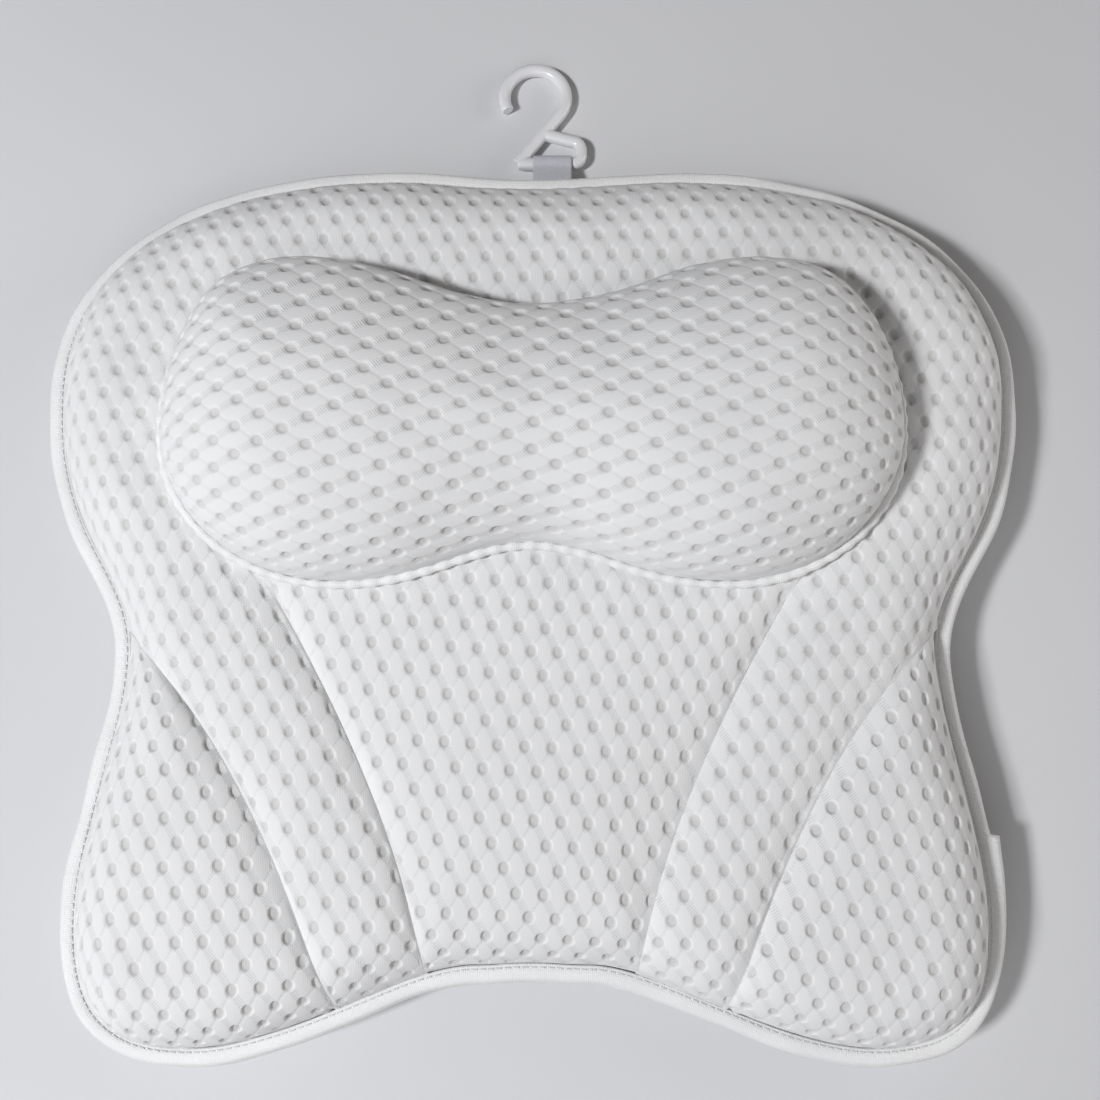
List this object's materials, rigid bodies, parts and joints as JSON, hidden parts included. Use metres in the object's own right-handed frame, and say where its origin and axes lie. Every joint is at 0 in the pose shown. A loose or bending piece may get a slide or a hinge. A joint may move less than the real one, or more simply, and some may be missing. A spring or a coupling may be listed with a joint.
{
  "type": "bath pillow",
  "caption": "Butterfly-shaped bath pillow of white air mesh with quilted panels, a raised bone-shaped headrest, a taped edge, suction cups on its back and a hook to hang it up to dry.",
  "frame": {"origin": "middle of the box round the whole object, at the plane of the suction cups' rims", "axes": "+Z out of the face, from the cups to the headrest; +Y from the notched foot towards the hook; +X to the right of someone who looks at the face"},
  "size_m": [0.4, 0.4249, 0.0958],
  "materials": {
    "air_mesh": "white knitted air mesh with round holes",
    "core": "springy off-white spacer layers",
    "tape": "white knitted tape",
    "ribbon": "pale grey woven ribbon",
    "white_plastic": "glossy white moulding",
    "clear_vinyl": "clear soft vinyl"
  },
  "bodies": {
    "pillow": {"yoke_cover": "air_mesh", "centre_cover": "air_mesh", "left_wing_cover": "air_mesh", "right_wing_cover": "air_mesh", "headrest_cover": "air_mesh", "yoke_fill": "core", "centre_fill": "core", "left_wing_fill": "core", "right_wing_fill": "core", "headrest_fill": "core", "headrest_welt": "tape", "edge_binding": "tape", "back_panel": "air_mesh", "hanging_tab": "ribbon", "eyelet_1": "white_plastic", "eyelet_2": "white_plastic", "eyelet_3": "white_plastic", "eyelet_4": "white_plastic", "eyelet_5": "white_plastic", "eyelet_6": "white_plastic"},
    "hook": {"hook": "white_plastic"},
    "cup_1": {"suction_cup_1": "clear_vinyl"},
    "cup_2": {"suction_cup_2": "clear_vinyl"},
    "cup_3": {"suction_cup_3": "clear_vinyl"},
    "cup_4": {"suction_cup_4": "clear_vinyl"},
    "cup_5": {"suction_cup_5": "clear_vinyl"},
    "cup_6": {"suction_cup_6": "clear_vinyl"}
  },
  "joints": [
    {"name": "hook_swing", "type": "hinge", "parent": "pillow", "child": "hook", "pos_m": [0.008, 0.16351, 0.0045], "axis": [1, 0, 0], "range_deg": [-80, 110]},
    {"name": "cup_1_turn", "type": "hinge", "parent": "pillow", "child": "cup_1", "pos_m": [-0.12, 0.07351, 0], "axis": [0, 0, 1], "continuous": true},
    {"name": "cup_2_turn", "type": "hinge", "parent": "pillow", "child": "cup_2", "pos_m": [0.12, 0.07351, 0], "axis": [0, 0, 1], "continuous": true},
    {"name": "cup_3_turn", "type": "hinge", "parent": "pillow", "child": "cup_3", "pos_m": [-0.06, -0.04449, 0], "axis": [0, 0, 1], "continuous": true},
    {"name": "cup_4_turn", "type": "hinge", "parent": "pillow", "child": "cup_4", "pos_m": [0.06, -0.04449, 0], "axis": [0, 0, 1], "continuous": true},
    {"name": "cup_5_turn", "type": "hinge", "parent": "pillow", "child": "cup_5", "pos_m": [-0.136, -0.14849, 0], "axis": [0, 0, 1], "continuous": true},
    {"name": "cup_6_turn", "type": "hinge", "parent": "pillow", "child": "cup_6", "pos_m": [0.136, -0.14849, 0], "axis": [0, 0, 1], "continuous": true}
  ]
}
